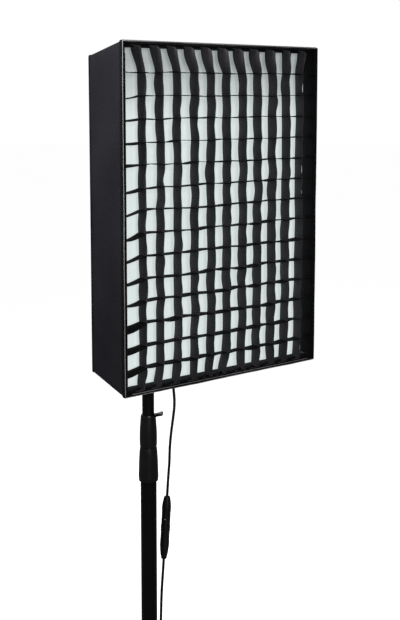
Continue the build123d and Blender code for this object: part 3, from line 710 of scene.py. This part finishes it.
def cord_piece(name, points, replaced):
    """A mesh tube on the spline's line, between two bodies. Returns it and its line."""
    guide = nurbs(name + "_line", points)
    data = bpy.data.meshes.new_from_object(guide)
    line = [v.co.copy() for v in data.vertices]
    bpy.data.meshes.remove(data)
    bpy.data.objects.remove(guide)
    tube = tube_along(name, line, CORD_D / 2, CORD_RUBBER, None, sides=14)
    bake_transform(tube)
    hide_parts(*replaced)
    return tube, line


def coil_tie():
    """A hook-and-loop strap round the coil's section, on the side away from the plug."""
    cx = COIL_CENTRE[0] + COIL_MID_R + 0.0005
    verts, outline = [], []
    half_w, half_h, r = 0.0118, 0.0102, 0.005
    for px, pz, a0 in ((1, 1, 0), (-1, 1, 90), (-1, -1, 180), (1, -1, 270)):
        for i in range(6):
            a = math.radians(a0 + 18 * i)
            outline.append((px * (half_w - r) + r * math.cos(a), pz * (half_h - r) + r * math.sin(a)))
    wave = wobble(61)
    widths = [-0.0075, -0.0055, 0.0, 0.0055, 0.0075]
    for y in widths:
        for k, (ox, oz) in enumerate(outline):
            verts.append((cx + ox + 0.0003 * wave(k / 24), COIL_CENTRE[1] + y, max(0.0012, oz + 0.0098)))
    faces = grid_faces(len(widths), len(outline), True)
    tie = mesh_object("coil_tie", verts, faces, TIE_CLOTH, "stand_base")
    thicken(tie, STRAP_T, 1.0)
    tail = []
    for i in range(9):
        t = i / 8
        for y in (-0.0072, 0.0, 0.0072):
            tail.append((cx + 0.0118 + 0.012 * t, COIL_CENTRE[1] + y, 0.0100 - 0.0085 * t ** 0.7))
    flap = mesh_object("coil_tie_tail", tail, grid_faces(9, 3), TIE_CLOTH, "stand_base")
    thicken(flap, STRAP_T, 1.0)
    return tie, flap


def lead():
    """The supply lead's four runs, each laid between the two bodies that it joins."""
    tail, line = cord_piece("tail_cord_upper", TAIL_HEAD,
                            ["tail_cord_head"])
    tail, line = cord_piece("tail_cord_lower", TAIL_BRACKET,
                            ["tail_cord_bracket"])
    upper, line = cord_piece("lead_to_coupler", LEAD_UPPER,
                             ["lead_upper"])
    ending = [(0.0432, 0.300, 0.0153), (0.0424, 0.309, 0.0153), PLUG_START, (0.0422, 0.325, 0.0152)]
    lower, line = cord_piece("lead_to_plug", LEAD_LOWER + coil_points() + ending,
                             ["lead_lower", "lead_coil"])
    coil_tie()


def connector_dot():
    """A small bright white dot on the near side of the inline connector."""
    share = 0.65
    x = COUPLER_BOTTOM[0] + (COUPLER_TOP[0] - COUPLER_BOTTOM[0]) * share
    z = COUPLER_BOTTOM[2] + (COUPLER_TOP[2] - COUPLER_BOTTOM[2]) * share
    out = Vector((-0.80, -0.60, 0.0))
    centre = Vector((x, 0, z)) + out * 0.0094
    side, up = Vector((-out.y, out.x, 0.0)), Vector((0.0, 0.0, 1.0))
    rings = ((0.0016, 0.0), (0.0014, 0.0006), (0.0008, 0.0009), (0.0001, 0.0010))      # radius and height
    sides = 16
    verts = []
    for radius, height in rings:
        for i in range(sides):
            a = 2 * math.pi * i / sides
            verts.append(centre + side * radius * math.cos(a) + up * radius * math.sin(a) + out * height)
    faces = grid_faces(len(rings), sides, True) + [tuple(reversed(range(sides)))]
    mesh_object("connector_dot", verts, faces, BRIGHT_DOT, "riser_mid")


dress_nodes()
lead()
connector_dot()
softbox_sides()
softbox_back()
edge_trim()
lining()
flat_cloth("diffuser", 0.2425, 0.3155, DIFFUSER_Y, 0.0011, DIFFUSER_CLOTH, 31,
           "front_diffuser")
flat_cloth("baffle", 0.204, 0.278, -0.1656, 0.002, BAFFLE_CLOTH, 35, "inner_baffle")
grid_strips()


# ---------------------------------------------------------------- stage, light and camera
def stage_floor():
    """A pale floor that glows to white away from the object."""
    m, nodes, links, shader = new_material("pale_floor", (0.86, 0.86, 0.86), 0.9)
    separate = nodes.new("ShaderNodeVectorMath")
    separate.operation = "LENGTH"
    links.new(coordinates(nodes), separate.inputs[0])
    glow = nodes.new("ShaderNodeMapRange")
    glow.inputs["From Min"].default_value = 0.55
    glow.inputs["From Max"].default_value = 1.05
    glow.inputs["To Min"].default_value = 0.10
    glow.inputs["To Max"].default_value = 0.9
    links.new(separate.outputs["Value"], glow.inputs["Value"])
    shader.inputs["Emission Color"].default_value = (1, 1, 1, 1)
    links.new(glow.outputs["Result"], shader.inputs["Emission Strength"])
    bpy.ops.mesh.primitive_circle_add(vertices=96, radius=40, fill_type="NGON", location=(0, 0, 0))
    floor = bpy.context.object
    floor.name = "floor"
    floor.data.materials.append(m)
    floor.visible_diffuse = False
    floor.visible_glossy = False


def world_light():
    """A white surrounding that the camera sees in full and the object feels faintly."""
    world = bpy.data.worlds.new("studio")
    bpy.context.scene.world = world
    world.use_nodes = True
    nodes, links = world.node_tree.nodes, world.node_tree.links
    background = nodes["Background"]
    background.inputs["Color"].default_value = (1, 1, 1, 1)
    path = nodes.new("ShaderNodeLightPath")
    strength = nodes.new("ShaderNodeMapRange")
    strength.inputs["To Min"].default_value = 0.10
    strength.inputs["To Max"].default_value = 1.0
    links.new(path.outputs["Is Camera Ray"], strength.inputs["Value"])
    links.new(strength.outputs["Result"], background.inputs["Strength"])


def area_light(name, location, target, size, energy):
    data = bpy.data.lights.new(name, "AREA")
    data.shape = "RECTANGLE"
    data.size, data.size_y = size
    data.energy = energy
    obj = bpy.data.objects.new(name, data)
    bpy.context.scene.collection.objects.link(obj)
    obj.location = location
    obj.rotation_euler = (Vector(target) - Vector(location)).to_track_quat("-Z", "Y").to_euler()


def camera():
    data = bpy.data.cameras.new("camera")
    data.sensor_width = 36
    data.lens = 67.66
    data.shift_y = -0.0968
    data.clip_end = 200
    obj = bpy.data.objects.new("camera", data)
    bpy.context.scene.collection.objects.link(obj)
    obj.location = (-1.5165, -1.9238, 1.6232)
    obj.rotation_euler = (math.radians(90 - 7.417), 0, math.radians(-40.863))
    bpy.context.scene.camera = obj


stage_floor()
world_light()
area_light("key", (-0.95, -0.10, 2.30), (-0.25, -0.15, 1.5), (0.5, 0.5), 15)
area_light("front", (-1.5, -3.4, 2.0), (0, 0, 1.2), (0.8, 1.4), 26)
area_light("top", (-0.4, -1.2, 3.6), (0, -0.1, 1.4), (1.8, 1.8), 9)
area_light("back", (0.9, 3.0, 2.4), (0, 0, 1.1), (1.6, 1.8), 60)
camera()
bpy.context.scene.view_settings.view_transform = "Standard"
